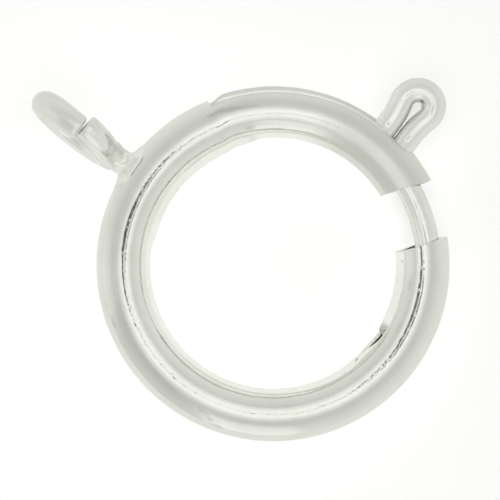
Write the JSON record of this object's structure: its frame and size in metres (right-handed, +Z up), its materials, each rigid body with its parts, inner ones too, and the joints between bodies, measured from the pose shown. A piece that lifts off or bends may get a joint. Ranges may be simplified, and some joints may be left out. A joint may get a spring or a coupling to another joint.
{
  "type": "spring ring clasp",
  "caption": "Spring ring clasp: an open ring of rolled tube, closed by a sprung wire bolt with a looped trigger, with a soldered wire eye for a chain.",
  "frame": {"origin": "centre of the ring, on the middle of its tube", "axes": "+Z up as the clasp lies on a surface; the ring's own axis leans 3.9 degrees from +Z, away from the eye. Seen from above with +X to the right and +Y up the picture, the eye is at the upper left and the trigger at the upper right"},
  "size_m": [0.0118, 0.0102, 0.0029],
  "materials": {
    "polished_silver": "polished silver with fine scratches",
    "bolt_silver": "polished drawn silver wire",
    "spring_steel": "bright drawn steel wire"
  },
  "bodies": {
    "ring": {"ring_tube": "polished_silver", "spring": "spring_steel"},
    "bolt": {"bolt": "bolt_silver"}
  },
  "joints": [
    {"name": "bolt_draw", "type": "hinge", "parent": "ring", "child": "bolt", "pos_m": [0, 0, 0], "axis": [0.0557, -0.0381, 0.9977], "range_deg": [0, 55], "stiffness_Nm_per_rad": 0.0036, "springref_deg": -34.38, "deforming": ["spring"]}
  ]
}
